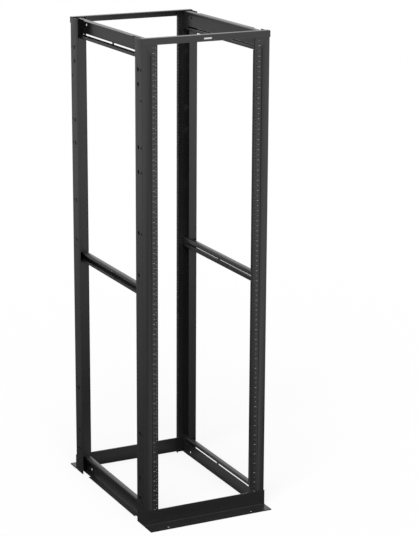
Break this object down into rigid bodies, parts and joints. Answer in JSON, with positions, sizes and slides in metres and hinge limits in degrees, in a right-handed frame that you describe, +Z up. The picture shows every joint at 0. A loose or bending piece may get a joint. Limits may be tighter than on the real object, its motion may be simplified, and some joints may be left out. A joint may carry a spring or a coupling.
{
  "type": "four post open frame equipment rack",
  "caption": "Tall open frame equipment rack: formed channel posts with drilled rail flanges, slotted side beams, mid braces, top crossbars and base angles with anchor feet.",
  "frame": {"origin": "centre of the footprint on the floor", "axes": "+Z up, front of the rack towards -Y, width along X"},
  "size_m": [0.5906, 0.904, 2.1336],
  "materials": {
    "frame_coat": "satin black powder coat"
  },
  "bodies": {
    "root": {"front_left_post": "frame_coat", "front_right_post": "frame_coat", "rear_left_post": "frame_coat", "rear_right_post": "frame_coat", "left_bottom_beam": "frame_coat", "right_bottom_beam": "frame_coat", "left_top_beam": "frame_coat", "right_top_beam": "frame_coat", "left_mid_brace": "frame_coat", "right_mid_brace": "frame_coat", "front_top_crossbar": "frame_coat", "rear_top_crossbar": "frame_coat", "front_base_angle": "frame_coat", "rear_base_angle": "frame_coat"}
  },
  "joints": []
}
